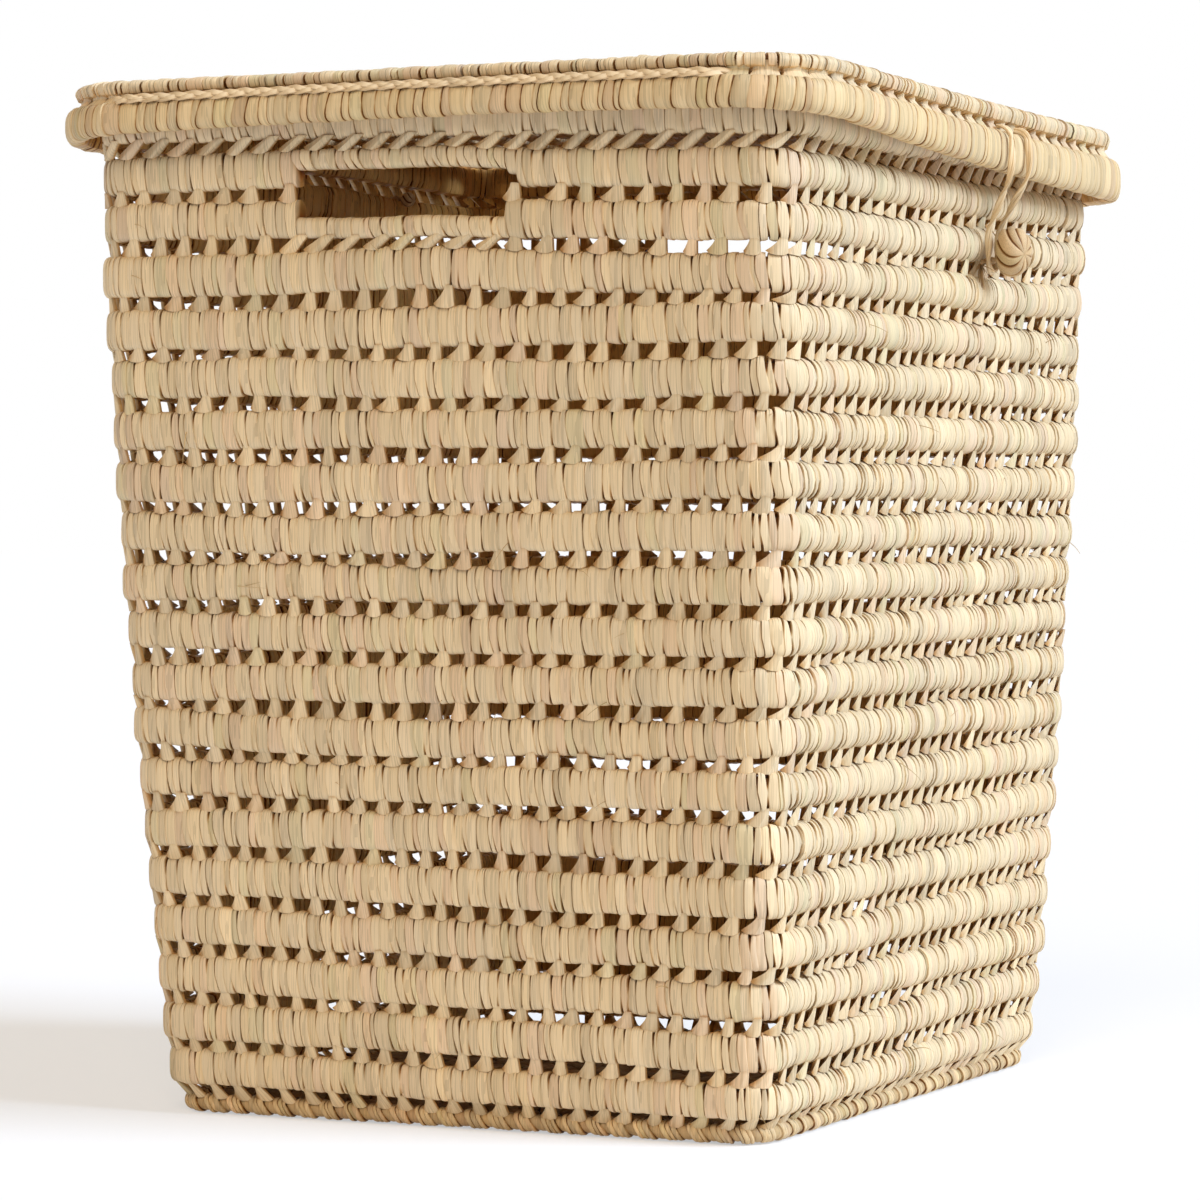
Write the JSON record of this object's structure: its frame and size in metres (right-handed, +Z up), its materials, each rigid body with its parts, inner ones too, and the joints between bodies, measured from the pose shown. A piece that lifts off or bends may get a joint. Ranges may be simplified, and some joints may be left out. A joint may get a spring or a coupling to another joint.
{
  "type": "lidded laundry basket",
  "caption": "Tapered rectangular laundry basket of wrapped palm-leaf coils stitched with open gaps, with hand slots, a hinged lid and a loop-and-ball closure.",
  "frame": {"origin": "middle of the underside of the base, on the floor", "axes": "+Z up, the front with the ball closure faces -Y, the hand slots are on the -X and +X sides, the lid hinges at +Y"},
  "size_m": [0.49, 0.4628, 0.543],
  "materials": {
    "leaf_straw": "dry palm leaf, straw",
    "leaf_cream": "dry palm leaf, cream",
    "leaf_tan": "dry palm leaf, tan",
    "leaf_brown": "dry palm fibre, brown"
  },
  "bodies": {
    "basket": {"base_rim": "leaf_tan", "base_mat": "leaf_brown", "course_01": "leaf_straw", "course_02": "leaf_cream", "course_03": "leaf_straw", "course_04": "leaf_cream", "course_05": "leaf_straw", "course_06": "leaf_cream", "course_07": "leaf_straw", "course_08": "leaf_cream", "course_09": "leaf_straw", "course_10": "leaf_cream", "course_11": "leaf_straw", "course_12": "leaf_cream", "course_13": "leaf_straw", "course_14": "leaf_cream", "course_15": "leaf_straw", "course_16": "leaf_cream", "course_17": "leaf_straw", "course_18": "leaf_cream", "course_19": "leaf_straw", "mouth_rim": "leaf_straw", "toggle_shank": "leaf_tan", "hinge_cord_left": "leaf_tan", "hinge_cord_right": "leaf_tan"},
    "lid": {"lid_skirt": "leaf_cream", "lid_coil_1": "leaf_straw", "lid_coil_2": "leaf_cream", "lid_coil_3": "leaf_straw", "lid_coil_4": "leaf_cream", "lid_coil_5": "leaf_straw", "lid_coil_6": "leaf_cream", "lid_coil_7": "leaf_straw", "lid_coil_8": "leaf_cream", "lid_centre_coil": "leaf_straw", "lid_braid_left": "leaf_tan", "lid_braid_right": "leaf_tan"},
    "toggle": {"toggle_ball": "leaf_tan"},
    "loop": {"closing_loop": "leaf_cream"}
  },
  "joints": [
    {"name": "lid_hinge", "type": "hinge", "parent": "basket", "child": "lid", "pos_m": [0, 0.2205, 0.5062], "axis": [-1, 0, 0], "range_deg": [0, 180], "deforming": ["hinge_cord_left", "hinge_cord_right", "closing_loop"]},
    {"name": "loop_swing", "type": "hinge", "parent": "lid", "child": "loop", "pos_m": [0.03, -0.2265, 0.5295], "axis": [-1, 0, 0], "range_deg": [0, 140], "deforming": ["closing_loop"]},
    {"name": "toggle_tilt", "type": "hinge", "parent": "basket", "child": "toggle", "pos_m": [0.046, -0.20433, 0.455], "axis": [-1, 0, 0], "range_deg": [-30, 20]}
  ]
}
